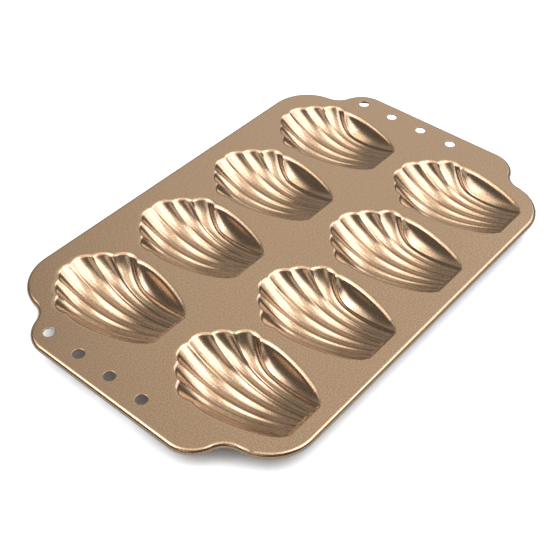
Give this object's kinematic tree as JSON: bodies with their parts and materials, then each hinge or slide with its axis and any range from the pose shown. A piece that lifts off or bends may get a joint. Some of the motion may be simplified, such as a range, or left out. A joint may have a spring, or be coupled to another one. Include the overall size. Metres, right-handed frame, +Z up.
{
  "type": "madeleine pan",
  "caption": "Shallow oblong baking pan with rounded corners, rolled edge, flat pierced end tabs and rows of fluted, shell-shaped wells pressed into its deck.",
  "frame": {"origin": "centre of the flat top face of the deck", "axes": "+X along the pan, towards the right tab; +Y across it, towards the scalloped ends of the wells; +Z up"},
  "size_m": [0.2792, 0.1826, 0.0142],
  "materials": {
    "coated_sheet": "satin metallic champagne-gold non-stick coating"
  },
  "bodies": {
    "root": {"deck": "coated_sheet", "tab_right": "coated_sheet", "tab_left": "coated_sheet", "curl_back": "coated_sheet", "curl_front": "coated_sheet", "curl_right": "coated_sheet", "curl_left": "coated_sheet", "well_1_1": "coated_sheet", "well_1_2": "coated_sheet", "well_1_3": "coated_sheet", "well_1_4": "coated_sheet", "well_2_1": "coated_sheet", "well_2_2": "coated_sheet", "well_2_3": "coated_sheet", "well_2_4": "coated_sheet"}
  },
  "joints": []
}
